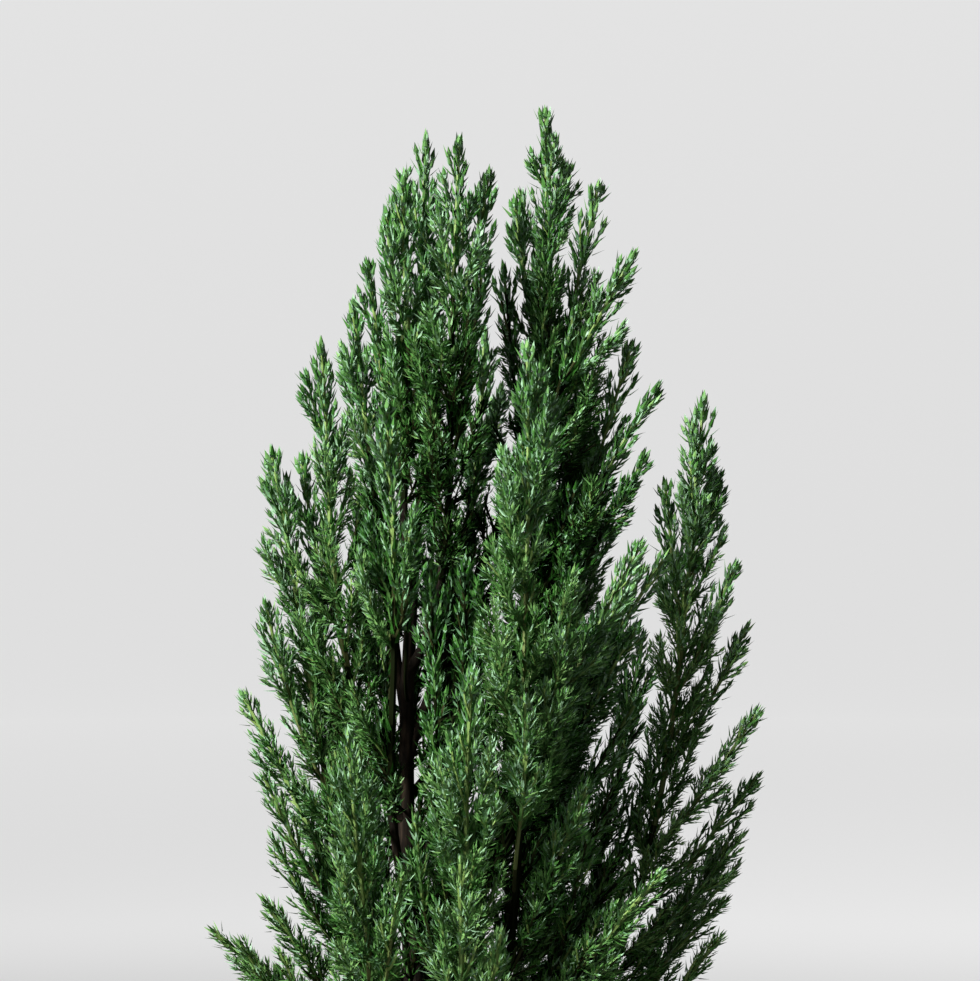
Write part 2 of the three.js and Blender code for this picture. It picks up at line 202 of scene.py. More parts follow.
# Every order of growth. Nodes stand step apart, from first below the parent's tip, and present is the share
# of them with a shoot on a given side. A shoot is add + share * (distance to the parent's tip) long, within
# least and longest. slant is its angle from the parent, lift the share of it lost by the tip, and scatter its
# spread about the spray's plane. A range limits a random factor. Branches close up over close_over of a
# leader's tip.
BRANCH = Values(
    step=7.4, close=0.35, close_over=40, first=8, nearest=3, above_foot=4, on_bare=0.5, turn=1.5, slant=0.46,
    grown_slant=0.2, lift=0.68, short_add=1.8, short_share=0.45, short_longest=13, short_slant=0.5,
    long_share=0.62, long_from=32, young_present=0.42, grown_present=0.85, young=40, grown=130,
    forked_from=14, outer=0.15, turn_scatter=0.25, pair_scatter=0.3, place_scatter=0.8,
    step_range=(0.75, 1.25), long_range=(0.7, 1.12), short_range=(0.75, 1.2), slant_range=(0.82, 1.18),
    segments=6, tube_steps=2, radius=0.62, tip_radius=0.4)
BRANCHLET = Values(
    step=4.6, first=2.6, present=0.88, add=2.4, share=0.42, longest=13, top_longest=7, least=3, slant=0.6,
    lift=0.55, scatter=0.4, forked_from=8, segments=2, tube_steps=2, radius=0.44, tip_radius=0.36)
TWIGLET = Values(
    step=3.8, first=2.8, present=0.8, add=1.6, share=0.3, longest=5, least=2.4, slant=0.6, lift=0.3,
    scatter=0.5, segments=1, tube_steps=1, radius=0.36, tip_radius=0.3)
# For branchlets and twiglets alike. stagger sets the two of a pair apart.
SHOOTS = Values(
    stagger=0.25, lean=0.15, from_tip=1.2, from_root=0.8, place_range=(0.85, 1.15), length_range=(0.7, 1.2),
    slant_range=(0.75, 1.25))

# Needles stand in pairs, step apart and each turned by a right angle. size is a needle's length.
PAIRS = {"stem": Values(step=3, size=6, width=1),
         "branch": Values(step=2.5, size=5.5, width=0.76),
         "branchlet": Values(step=2.3, size=5, width=0.7),
         "twiglet": Values(step=2.15, size=4.4, width=0.66)}
# Over about near_tip pairs a shoot's tip differs, and crowding pulls the pairs there together. overlap is
# how far a needle starts inside its shoot, and belly how far along it is widest.
NEEDLE = Values(
    thickness=0.32, belly=0.34, angle=0.86, tip_angle=0.3, tip_size=0.62, tip_width=1.3, incurve=0.14,
    crowding=1.4, near_tip=1.25, overlap=0.3, turn_scatter=0.2, place_range=(0.93, 1.07),
    angle_range=(0.7, 1.25), size_range=(0.8, 1.15))
# Growth is stronger near a tall leader's tip: needles are longer, broader and closer to their shoot, and they
# and the branches stand further apart. There needles are also lighter, partly the paler colour of strong
# growth and partly painted light on the crown's top.
VIGOUR = Values(
    reach=80, none_at=110, full_at=290, size=0.32, width=1, angle=-0.36, step=0.35, lighter=0.12, apart=0.45)
# Openings in the foliage, seen from the front: middle and half size, right and up. Only one goes through, and
# the others clear what grows in front of the trunk and of a leader's stem.
OPENINGS = [Values(middle=(-16.2, 189), half=(2.2, 15), through=True),
            Values(middle=(-11.5, 171), half=(2.7, 37), through=False),
            Values(middle=(26.9, 114), half=(2.1, 38), through=False)]
# The crown as a solid about an upright axis: its radius, least radius, how much slimmer its foot is, and how
# much flatter it is from front to back. Nothing counts as deep near its top.
CROWN = Values(axis=14, radius=96, least=8, slimmer=0.25, slim_below=0.25, flatter=1.25, bare_top=3)
INNER = Values(start=0.6, bare=0.75)  # the depth from which growth thins out, and how far it does

POT = Values(
    foot=45, top=60, height=112, rim_height=24, rim_out=4.5, rim_hollow=0.5, wall=5, floor=8, solid_sides=32,
    sides=144)
# The radii of the pot's rounded edges, and the stretches between them: where each starts and ends past the
# ends of its part, and its number of points.
POT_EDGES = Values(foot=2, under_rim=1.5, rim=2.4, mouth=2)
POT_SPANS = Values(body=(6, -1, 14), rim=(4, -5, 8), inside=(-6, 0, 12))
# The compost lies drop below the rim and rises by dome, with the trunk on a flat middle of radius stand, and
# is rough from calm outwards. swells holds the strength, number and length of its waves.
COMPOST = Values(
    drop=14, dome=3, stand=14, shoulder=0.6, gap=0.3, rough=1.1, sunk=0.6, calm=6, calm_fade=10,
    swells=((0.7, 12, 14), (0.45, 16, 4.5)), sides=160, rings=64)
SWELLS = Values(length_range=(0.7, 1.5), fit=1.4)
LUMPS = Values(count=900, from_edge=1.5, least=0.35, more=1.3, size_range=(0.5, 1.2))
LITTER = Values(
    count=320, from_axis=8, from_edge=14, above=0.3, rise=(-0.05, 0.12), length=(3, 5.5), width=0.8)
# The bark's ridges: waves with a number of ridges round the limb, which drift round it on the way up.
RIDGES = Values(waves=9, round=(3, 12), drift=1.6, drift_pitch=(0.08, 0.3), fade=1.5, fade_share=0.35, fit=3)
TRUNK_BARK = Values(sides=28, steps=260, relief=0.16)
BOUGH_BARK = Values(sides=12, steps=50, relief=0.13)

# The stage, in metres and watts.
FLOOR = Values(wall=6, curve=1.5, height=1.8, sides=96, middle=1, rings=8, curve_rings=16)
STAGE = Values(
    paint=0.26, roughness=0.9, gloss=0.1, paint_to=0.4, glow_from=1.8, glow=0.68, front_glow=0.2, dim_to=-1.5,
    bright_from=1, sky=0.05,
    key_side=(-0.67, -0.52, 0.6), key_aim=0.25, key_distance=2.4, key_size=0.7, key_spread=60, key_power=26.5)
VIEW = Values(below_top=137, aside=18, width=353, distance=1300, sensor=36, far=50)

# ---- tints ----

# Name, colour and gloss: the needles' outer faces from young to the darkest, then their bluer upper faces.
# The darker tints are mostly painted shade: they go to needles deep in the crown, with less gloss.
NEEDLE_TINTS = [
    ("needle_tip", (0.12, 0.23, 0.068), 0.12),
    ("needle_young", (0.071, 0.166, 0.044), 0.12),
    ("needle_fresh", (0.04, 0.118, 0.023), 0.08),
    ("needle_green", (0.019, 0.074, 0.01), 0.06),
    ("needle_deep", (0.009, 0.04, 0.005), 0.04),
    ("needle_dark", (0.003, 0.015, 0.002), 0.02),
    ("bloom_light", (0.185, 0.31, 0.185), 0.1),
    ("bloom_green", (0.1, 0.205, 0.1), 0.1),
    ("bloom_deep", (0.024, 0.08, 0.017), 0.05),
]
NEEDLE_ROUGHNESS = 0.45
# The tan and brown twig tints are nearly black: partly the colour of older wood, partly painted shade deep in
# the crown.
TWIG_TINTS = [
    ("twig_green", (0.045, 0.11, 0.022), 0.3),
    ("twig_light", (0.12, 0.19, 0.045), 0.3),
    ("twig_olive", (0.085, 0.11, 0.03), 0.2),
    ("twig_tan_painted_shade", (0.017, 0.02, 0.006), 0.04),
    ("twig_brown_painted_shade", (0.004, 0.006, 0.0015), 0.02),
]
TWIG_ROUGHNESS = 0.6
GREEN, LIGHT, OLIVE, SHADED_TAN, SHADED_BROWN = range(len(TWIG_TINTS))
# Shades between which one tint follows another. depth is how much painted shade a needle gets by its depth in
# the crown. fresh is how much lighter young needles are, less where growth is strong, and fading over
# fresh_over.
TINTS = Values(
    edges=(-0.45, -0.2, 0.08, 0.34, 0.66), bloom_edges=(0, 0.42), first_bloom=6, bloomed_from=0.3,
    bloom_more=0.12, bloom_scatter=0.25, scatter=0.12, fresh=0.5, fresh_most=0.8, fresh_less=0.55,
    fresh_over=3.8, depth=0.7, spray_scatter=0.12, branchlet_scatter=0.07)
# Twigs deep in the crown take the nearly black tan and brown tints, partly as painted shade.
TWIGS = Values(depth_scatter=0.08, brown_depth=0.62, tan_depth=0.42, light_share=0.25)
# Patterned materials: the noise's scale per metre and stretch, its colours with their places, and the scale
# and depth of the grain.
PATTERNS = {
    # The bark is nearly black: partly its own dark brown, partly painted shade for a trunk that stands in the
    # crown's shadow.
    "bark": Values(
        scale=900, stretch=(1, 1, 0.12), roughness=0.9, grain=900, depth=0.0004,
        colors=((0.3, (0.003, 0.0024, 0.0016)), (0.72, (0.024, 0.016, 0.01)), (0.5, (0.009, 0.0062, 0.004)))),
    "clay": Values(
        scale=34, stretch=(1, 1, 2.4), roughness=0.88, grain=1300, depth=0.0003,
        colors=((0.3, (0.42, 0.17, 0.09)), (0.74, (0.55, 0.28, 0.18)), (0.52, (0.47, 0.2, 0.11)))),
    "soil": Values(
        scale=260, stretch=(1, 1, 1), roughness=0.95, grain=1600, depth=0.0006,
        colors=((0.34, (0.009, 0.006, 0.004)), (0.7, (0.075, 0.05, 0.032)), (0.5, (0.028, 0.018, 0.011)))),
    "litter": Values(
        scale=300, stretch=(1, 1, 1), roughness=0.7, grain=900, depth=0.0001,
        colors=((0.35, (0.08, 0.045, 0.018)), (0.65, (0.22, 0.13, 0.05)))),
}
NOISE = Values(detail=8, grain_detail=4, bump=0.5, gloss=0.1)


# ---- arrays and meshes ----

def unit(v):
    """Rows of v at length 1."""
    return v / np.maximum(np.linalg.norm(v, axis=-1, keepdims=True), 1e-9)


def across(axis, wanted):
    """The part of wanted that is square to axis, at length 1."""
    return unit(wanted - axis * (wanted * axis).sum(-1, keepdims=True))


def swing(angle, first, second):
    """The directions at an angle from first towards second."""
    return np.cos(angle)[..., None] * first + np.sin(angle)[..., None] * second


def circle(sides):
    """The angles of points round a circle."""
    return np.arange(sides) * 2 * math.pi / sides


def around(rings, sides):
    """The vertices of all rings but the last, and each one's neighbour round its ring."""
    a = np.arange((rings - 1) * sides)
    return a, a - a % sides + (a + 1) % sides


def ring_vertices(points, heading, seam, size, sides):
    """Rings about points, square to heading, whose first vertex is on the side of seam."""
    first = across(heading, seam)
    ring = swing(circle(sides), first[..., None, :], np.cross(heading, first)[..., None, :])
    return points[..., None, :] + ring * size[..., None]


def ring_faces(rings, sides):
    """Triangles between stacked rings."""
    a, b = around(rings, sides)
    return np.stack([a, b, b + sides, a, b + sides, a + sides], axis=-1).reshape(-1, 3)


def shown(name, data):
    """An object in the scene."""
    made = bpy.data.objects.new(name, data)
    bpy.context.scene.collection.objects.link(made)
    return made


def mesh_piece(name, vertices, faces, materials, indices=None, smooth=False):
    """A mesh object from arrays."""
    mesh = bpy.data.meshes.new(name)
    vertices = np.asarray(vertices, dtype=np.float32)
    faces = np.asarray(faces, dtype=np.int32)
    corners = faces.shape[1]
    mesh.vertices.add(len(vertices))
    mesh.vertices.foreach_set("co", vertices.ravel())
    mesh.loops.add(faces.size)
    mesh.loops.foreach_set("vertex_index", faces.ravel())
    mesh.polygons.add(len(faces))
    mesh.polygons.foreach_set("loop_start", np.arange(0, faces.size, corners, dtype=np.int32))
    mesh.polygons.foreach_set("loop_total", np.full(len(faces), corners, dtype=np.int32))
    if indices is not None:
        mesh.polygons.foreach_set("material_index", np.asarray(indices, dtype=np.int32))
    mesh.polygons.foreach_set("use_smooth", np.full(len(faces), smooth))
    for material in materials:
        mesh.materials.append(material)
    mesh.update()
    mesh.validate()
    return shown(name, mesh)


class Gather:
    """Vertices, triangles and material numbers, added as copies of small meshes."""

    def __init__(self):
        self.vertices, self.faces, self.indices, self.count = [], [], [], 0

    def add(self, vertices, faces, indices=0):
        """Adds copies with the same faces, each with its own row of vertices."""
        size = math.prod(vertices.shape[1:-1])
        faces = faces + self.count + np.arange(len(vertices))[:, None, None] * size
        self.vertices.append(vertices.reshape(-1, 3))
        self.faces.append(faces.reshape(-1, 3))
        self.indices.append(np.broadcast_to(indices, faces.shape[:-1]).ravel())
        self.count += len(vertices) * size

    def piece(self, name, materials, height=0):
        """A mesh object of all that was added, in metres and raised by height."""
        vertices = np.vstack(self.vertices) * MM + (0, 0, height)
        faces, indices = np.vstack(self.faces), np.concatenate(self.indices)
        return mesh_piece(name, vertices, faces, materials, indices)


# ---- the plant's lines ----

def bezier(a, b, c, d, t):
    """Points at t, from 0 to 1, of the curve that leaves a towards b and reaches d from c."""
    t = t[:, None]
    return a * (1 - t) ** 3 + 3 * b * t * (1 - t) ** 2 + 3 * c * t ** 2 * (1 - t) + d * t ** 3


def trunk_line(t):
    """Points of the trunk's centre, from t = 0 at the ground to 1 at the fork."""
    pulls = [np.array((x, 0, TRUNK.height * i / 3)) for i, x in enumerate((0, *TRUNK.lean))]
    return bezier(*pulls, np.asarray(t, dtype=float))


class Line:
    """A curve that is read by its distance from the start."""

    def __init__(self, points):
        self.points = points
        steps = np.linalg.norm(np.diff(points, axis=0), axis=1)
        self.along = np.concatenate([[0], np.cumsum(steps)])
        self.length = self.along[-1]

    def at(self, distance):
        return np.stack([np.interp(distance, self.along, self.points[:, k]) for k in range(3)], axis=-1)

    def heading(self, distance):
        """The direction there, over two millimetres."""
        return unit(self.at(np.asarray(distance) + 1) - self.at(np.asarray(distance) - 1))


def rising_line(foot, tip, bow, index, rule=LINE):
    """The curve of a leader from foot to tip: out by bow at first, then up."""
    tip = np.array(tip, dtype=float)
    out = (tip - foot) * (1, 1, 0)

    def pull(share, height):
        place = foot + out * share
        place[2] = foot[2] + (tip[2] - foot[2]) * height
        return place

    t = np.linspace(0, 1, LINE.points)
    end = pull(LINE.end_out + LINE.end_bow * bow, rule.straighten)
    line = bezier(foot, pull(bow, rule.bend), end, tip, t)
    most = min(LINE.sway, LINE.sway_share * np.linalg.norm(tip - foot))
    side = unit(np.array((-out[1], out[0], 0))) * (most if index % 2 else -most)
    sway = np.sin((LINE.sway_turn + index % LINE.sway_kinds) * t) * np.sin(math.pi * t)
    return Line(line + side * sway[:, None])


def trunk_point(height):
    """The trunk's centre at about that height."""
    return trunk_line([height / TRUNK.height])[0]


def leader_line(index):
    leader = LEADERS[index]
    return rising_line(trunk_point(leader.foot), leader.tip, leader.bow, index)


def bough_length(line):
    """How much of a leader's line is its bough."""
    return min(BOUGH.share * line.length, BOUGH.longest)


# ---- where things are in the crown ----

def depth_in_crown(places):
    """0 at the crown's outside and 1 at its upright axis."""
    height = places[:, 2] / ((TOP - GROUND) / MM)
    slim = 1 - CROWN.slimmer * (1 - np.clip(height / CROWN.slim_below, 0, 1))
    radius = CROWN.radius * np.sqrt(np.clip(1 - height, 0, 1)) * slim + CROWN.least
    out = np.hypot(places[:, 0] - CROWN.axis, places[:, 1] * CROWN.flatter)
    return np.clip(1 - out / radius, 0, 1) * np.clip(CROWN.bare_top * (1 - height), 0, 1)


def kept_inside(random, depth):
    """Whether each thing grows: fewer do, the deeper in the crown."""
    inner = np.clip((depth - INNER.start) / (1 - INNER.start), 0, 1)
    return random.random(len(depth)) > inner * INNER.bare


def facing(places, outward):
    """1 where outward points away from the crown's axis, and -1 where it points to it."""
    away = unit((places - (CROWN.axis, 0, 0)) * (1, 1, 0))
    return (away * outward).sum(-1)


def vigour_at(places, top):
    """0 to 1, by how near places are to the height of their leader's tip, and how high that is."""
    tall = np.clip((top - VIGOUR.none_at) / (VIGOUR.full_at - VIGOUR.none_at), 0, 1)
    return tall * np.clip(1 - (top - places[..., 2]) / VIGOUR.reach, 0, 1)


def in_opening(places):
    """Whether each place is in an opening, seen from the camera's distance."""
    nearer = VIEW.distance / (VIEW.distance + places[..., 1])
    right = VIEW.aside + (places[..., 0] - VIEW.aside) * nearer
    found = np.zeros(right.shape, dtype=bool)
    for opening in OPENINGS:
        (x, z), (wide, high) = opening.middle, opening.half
        inside = ((right - x) / wide) ** 2 + ((places[..., 2] - z) / high) ** 2 < 1
        found |= inside & (opening.through | (places[..., 1] < 0))
    return found


# ---- growth ----

# points is (count, segments + 1, 3). For branches, parents holds their distances below the leader's tip.
Shoots = namedtuple("Shoots", "points lengths outward parents")


def some(shoots, chosen):
    """The chosen ones of the shoots."""
    return Shoots(*(v[chosen] for v in shoots))


def grow(roots, ahead, outward, slant, length, rule):
    """Points of curved shoots from arrays of roots, which bend up towards ahead."""
    steps = rule.segments
    share = (np.arange(steps) + 0.5) / steps
    angle = slant[:, None] * (1 - rule.lift * share[None, :])
    moves = swing(angle, ahead[:, None], outward[:, None]) * (length / steps)[:, None, None]
    start = np.zeros_like(moves[:, :1])
    return roots[:, None] + np.concatenate([start, np.cumsum(moves, axis=1)], axis=1)


def on_shoots(points, rows, share):
    """Places and headings at shares of the way along some of the shoots."""
    spot = np.clip(share, 0, 0.999) * (points.shape[1] - 1)
    low = spot.astype(int)
    a, b = points[rows, low], points[rows, low + 1]
    return a + (b - a) * (spot - low)[:, None], unit(b - a)


def age_at(below):
    """0 near a leader's tip and 1 where its branches are full grown."""
    return np.clip((below - BRANCH.young) / (BRANCH.grown - BRANCH.young), 0, 1)


def branches_of(random, line, start, spread):
    """Pairs of side branches along a leader, some long, with short ones between."""
    room = line.length - start
    tip = line.points[-1]
    below = [BRANCH.first]
    while below[-1] < room - BRANCH.above_foot:
        close = 1 - BRANCH.close * (1 - min(below[-1] / BRANCH.close_over, 1))
        close *= 1 + VIGOUR.apart * vigour_at(tip - (0, 0, below[-1]), tip[2])
        below.append(below[-1] + BRANCH.step * close * random.uniform(*BRANCH.step_range))
    below = np.array(below[:-1])
    turn = random.uniform(*ANY_TURN)
    turn = turn + np.cumsum(BRANCH.turn + random.normal(0, BRANCH.turn_scatter, len(below)))
    turn = np.concatenate([turn, turn + math.pi + random.normal(0, BRANCH.pair_scatter, len(below))])
    below = np.concatenate([below, below]) + random.normal(0, BRANCH.place_scatter, 2 * len(below))
    below = np.clip(below, BRANCH.nearest, room)
    place = line.length - below
    ahead = line.heading(place)
    outward = across(ahead, np.stack([np.cos(turn), np.sin(turn), np.zeros(len(turn))], -1))
    short = np.minimum(BRANCH.short_add + BRANCH.short_share * below, BRANCH.short_longest)
    long = np.minimum(BRANCH.long_share * below, spread)
    long = long * (1 + BRANCH.outer * facing(line.at(place), outward))
    age = age_at(below)
    present = BRANCH.young_present + (BRANCH.grown_present - BRANCH.young_present) * age
    is_long = (random.random(len(below)) < present) & (below > BRANCH.long_from)
    length = np.where(is_long, long * random.uniform(*BRANCH.long_range, len(below)),
                      short * random.uniform(*BRANCH.short_range, len(below)))
    slant = np.where(is_long, BRANCH.slant + BRANCH.grown_slant * age, BRANCH.short_slant)
    slant = slant * random.uniform(*BRANCH.slant_range, len(below))
    return Shoots(grow(line.at(place), ahead, outward, slant, length, BRANCH), length, outward, below)


def shoots_of(random, parents, longest, rule, coarse):
    """Shoots on both sides of their parents, near the plane square to each parent's outward side."""
    points, length, outward, _ = parents
    found = []
    step = rule.step * coarse ** 0.5
    for k in range(int(length.max(initial=0) / step) + 1):
        for sign in (1, -1):
            apart = random.uniform(*SHOOTS.place_range, len(length))
            below = rule.first + (k + SHOOTS.stagger * sign) * step * apart
            size = np.minimum(rule.add + rule.share * below, longest)
            size = size * random.uniform(*SHOOTS.length_range, len(length))
            kept = (below > SHOOTS.from_tip) & (below < length - SHOOTS.from_root)
            kept &= (size > rule.least) & (random.random(len(length)) < rule.present)
            live = np.flatnonzero(kept)
            root, ahead = on_shoots(points, live, 1 - below[kept] / length[kept])
            lean = random.normal(SHOOTS.lean, rule.scatter, len(live))
            side = np.cross(ahead, outward[live]) * sign
            out = across(ahead, swing(lean, side, outward[live]))
            found.append((root, ahead, out, size[kept], live))
    roots, aheads, outs, lengths, owners = (np.concatenate(v) for v in zip(*found))
    slant = rule.slant * random.uniform(*SHOOTS.slant_range, len(lengths))
    return Shoots(grow(roots, aheads, outs, slant, lengths, rule), lengths, outs, owners)


def needles_on(random, shoots, rule, coarse, top):
    """Pairs of needles along shoots: each one's base, direction, upper side, length, width, shoot and
    distance from the tip."""
    points, length, outward, _ = shoots
    found = []
    vigour = vigour_at(points[:, -1], top)
    step = rule.step * coarse * (1 + VIGOUR.step * vigour)
    for k in range(int(length.max(initial=0) / (rule.step * coarse)) + 2):
        below = step * k * k / (k + NEEDLE.crowding)
        below = below * random.uniform(*NEEDLE.place_range, len(length))
        live = np.flatnonzero(below < length)
        below = below[live]
        base, ahead = on_shoots(points, live, 1 - below / length[live])
        first = across(ahead, outward[live])
        second = np.cross(ahead, first)
        near_tip = math.exp(-k / NEEDLE.near_tip)
        widest = rule.width * coarse ** 0.5 * (1 + (NEEDLE.tip_width - 1) * near_tip)
        widest = widest * (1 + VIGOUR.width * vigour[live])
        longest = rule.size * (1 + (NEEDLE.tip_size - 1) * near_tip)
        for side in (1, -1):
            turn = k * math.pi / 2 + random.normal(0, NEEDLE.turn_scatter, len(live))
            out = side * swing(turn, second, first)
            angle = NEEDLE.angle + (NEEDLE.tip_angle - NEEDLE.angle) * near_tip
            angle = angle * random.uniform(*NEEDLE.angle_range, len(live))
            angle = angle * (1 + VIGOUR.angle * vigour[live])
            size = longest * random.uniform(*NEEDLE.size_range, len(live))
            size = size * (1 + VIGOUR.size * vigour[live])
            heading, upper = swing(angle, ahead, out), swing(angle, -out, ahead)
            found.append((base, heading, upper, size, widest, live, below))
    return [np.concatenate(v) for v in zip(*found)]


# ---- twigs and needles ----

def add_tubes(gather, points, radius, tip_radius, indices, sides=3):
    """Tapering tubes along rows of points, (count, rings, 3), closed at the tip. indices has the material
    numbers of each tube or of its stretches."""
    count, rings, _ = points.shape
    size = radius[:, None] + (tip_radius - radius)[:, None] * np.linspace(0, 1, rings)
    heading = unit(np.gradient(points, axis=1))
    vertices = ring_vertices(points, heading, SKEW, size[..., None], sides)
    last = (rings - 1) * sides
    cap = [(last, last + s, last + s + 1) for s in range(1, sides - 1)]
    faces = np.vstack([ring_faces(rings, sides), cap])
    rows = np.append(np.repeat(np.arange(rings - 1), 2 * sides), [rings - 2] * len(cap))
    indices = np.broadcast_to(indices, (count, rings - 1))
    gather.add(vertices, faces, indices[:, rows])


def add_needles(gather, bases, headings, uppers, sizes, widths, indices):
    """Slim keeled needles of four faces, open at the foot. indices has the outer and the upper faces'
    material numbers."""
    side = np.cross(headings, uppers) * widths[:, None] / 2
    belly = bases + headings * (sizes * NEEDLE.belly)[:, None]
    base = bases - headings * NEEDLE.overlap
    keel = belly - uppers * NEEDLE.thickness
    tip = bases + headings * sizes[:, None] + uppers * (NEEDLE.incurve * sizes)[:, None]
    vertices = np.stack([base, belly + side, belly - side, keel, tip], axis=1)
    faces = np.array([(0, 1, 2), (1, 4, 2), (1, 3, 4), (3, 2, 4)])
    upper_face = np.array([1, 1, 0, 0])
    numbers = indices[:, 0:1] * (1 - upper_face) + indices[:, 1:2] * upper_face
    gather.add(vertices, faces, numbers)


def tint_numbers(random, shade, fresh, strong):
    """The outer and upper material numbers of needles, by their shade, youth and strength: the shade is
    mostly painted shade, darker deeper in the crown.
    """
    value = shade + random.normal(0, TINTS.scatter, len(shade)) - TINTS.fresh * fresh
    outer = np.searchsorted(TINTS.edges, value, side="right")
    bloom = strong + random.normal(TINTS.bloom_more, TINTS.bloom_scatter, len(shade))
    bloom_number = TINTS.first_bloom + np.searchsorted(TINTS.bloom_edges, value, side="right")
    upper = np.where(bloom > TINTS.bloomed_from, bloom_number, np.maximum(outer - 1, 0))
    return np.stack([outer, upper], axis=1)


def add_stem(line, bare, thick, twigs):
    """The stem within a leader's foliage."""
    reach = np.linspace(max(bare - STEM.overlap, 0), line.length - STEM.before_tip, STEM.rings)
    height = 1 - (line.length - reach[:-1]) / min(STEM.green, STEM.green_share * line.length)
    depth = depth_in_crown(line.at(reach[:-1]))
    light = height > STEM.light_height
    # Painted shade in part: deep in the crown the stem is nearly black.
    tints = np.select([depth > STEM.brown_depth, depth > STEM.tan_depth, light], [SHADED_BROWN, SHADED_TAN, LIGHT], OLIVE)
    add_tubes(twigs, line.at(reach)[None], np.array([thick]), np.array([STEM.tip]), tints[None],
              STEM.sides)


def add_twigs(random, shoots, rule, twigs):
    """Shoots as tubes, tinted by their depth in the crown: nearly black deep inside, partly for older wood
    and partly as painted shade.
    """
    count = len(shoots.lengths)
    deep = depth_in_crown(shoots.points[:, 0]) + random.normal(0, TWIGS.depth_scatter, count)
    light = random.random(count) < TWIGS.light_share
    tints = np.select([deep > TWIGS.brown_depth, deep > TWIGS.tan_depth, light], [SHADED_BROWN, SHADED_TAN, LIGHT], GREEN)
    add_tubes(twigs, shoots.points[:, ::rule.tube_steps], np.full(count, rule.radius),
              np.full(count, rule.tip_radius), tints[:, None])


def clothe(random, shoots, tone, rule, coarse, top, needles):
    """The needles of some shoots. tone shades each shoot."""
    grown = needles_on(random, shoots, rule, coarse, top)
    depth = depth_in_crown(grown[0])
    kept = kept_inside(random, depth) & ~in_opening(grown[0])
    bases, headings, uppers, sizes, widths, owners, ages = (v[kept] for v in grown)
    strong = vigour_at(bases, top)
    # Painted shade and light: the deeper a needle is in the crown, the darker its tint, and near a tall
    # leader's tip it is lighter, partly for strong growth and partly as painted light.
    shade = depth[kept] * TINTS.depth + tone[owners] - VIGOUR.lighter * strong
    fresh = (TINTS.fresh_most - TINTS.fresh_less * strong) * np.exp(-ages / TINTS.fresh_over)
    tints = tint_numbers(random, shade, fresh, strong)
    add_needles(needles, bases, headings, uppers, sizes, widths, tints)


def grow_leader(seed, line, bare, spread, thick, into):
    """All that grows on one leader beyond its bare foot. into holds the group's coarseness and pieces."""
    random = np.random.default_rng(seed * SEEDS.step + SEEDS.first)
    top = line.points[-1, 2]
    branches = branches_of(random, line, BRANCH.on_bare * bare, spread)
    foot_and_middle = branches.points[:, [0, BRANCH.segments // 2]]
    branches = some(branches, ~in_opening(foot_and_middle).any(axis=1))
    forked = np.flatnonzero(branches.lengths > BRANCH.forked_from)
    more = (BRANCHLET.longest - BRANCHLET.top_longest) * age_at(branches.parents)[forked]
    longest = BRANCHLET.top_longest + more
    lets = shoots_of(random, some(branches, forked), longest, BRANCHLET, into.coarse)
    inside = kept_inside(random, depth_in_crown(lets.points[:, 0]))
    lets = some(lets, inside & ~in_opening(lets.points).any(axis=1))
    big = np.flatnonzero(lets.lengths > BRANCHLET.forked_from)
    twiglets = shoots_of(random, some(lets, big), TWIGLET.longest, TWIGLET, into.coarse)

    add_stem(line, bare, thick, into.twigs)
    for shoots, rule in ((branches, BRANCH), (lets, BRANCHLET), (twiglets, TWIGLET)):
        add_twigs(random, shoots, rule, into.twigs)

    end = line.length - STEM.before_tip
    points = line.at(np.linspace(bare, end, STEM.needle_steps))[None]
    stem = Shoots(points, np.array([end - bare]), np.array([STEM.facing]), None)
    tone = random.normal(0, TINTS.spray_scatter, len(branches.lengths))
    let_tone = tone[forked][lets.parents] + random.normal(0, TINTS.branchlet_scatter, len(lets.lengths))
    twiglet_tone = let_tone[big][twiglets.parents]
    for kind, shoots, tones in (("stem", stem, np.zeros(1)), ("branch", branches, tone),
                                ("branchlet", lets, let_tone), ("twiglet", twiglets, twiglet_tone)):
        clothe(random, shoots, tones, PAIRS[kind], into.coarse, top, into.needles)


# ---- foliage ----

def inner_sprays(into):
    """Short sprays all round the trunk, but for the gap beside it."""
    rule = INNER_SPRAYS
    for number in range(rule.count):
        height = rule.lowest + (rule.highest - rule.lowest) * number / rule.count
        turn = number * rule.turn % (2 * math.pi)
        if rule.gap[0] < height < rule.gap[1] and rule.gap_turns[0] < turn < rule.gap_turns[1]:
            continue
        foot = trunk_point(height)
        tip = foot + (rule.out * math.cos(turn), rule.out * math.sin(turn), rule.up)
        line = rising_line(foot, tip, rule.bow, number)
        grow_leader(SEEDS.inner_sprays + number, line, rule.bare, rule.spread, rule.thick, into)


def side_leaders(leader, line, into):
    """The strong side leaders of one leader."""
    for number, shoot in enumerate(OFFSHOOTS):
        if shoot.parent == leader.name:
            root = line.at(shoot.share * line.length)
            side_line = rising_line(root, shoot.tip, shoot.bow, number, SIDE_LINE)
            grow_leader(SEEDS.offshoots + number, side_line, SIDE.bare, shoot.spread, SIDE.thick, into)


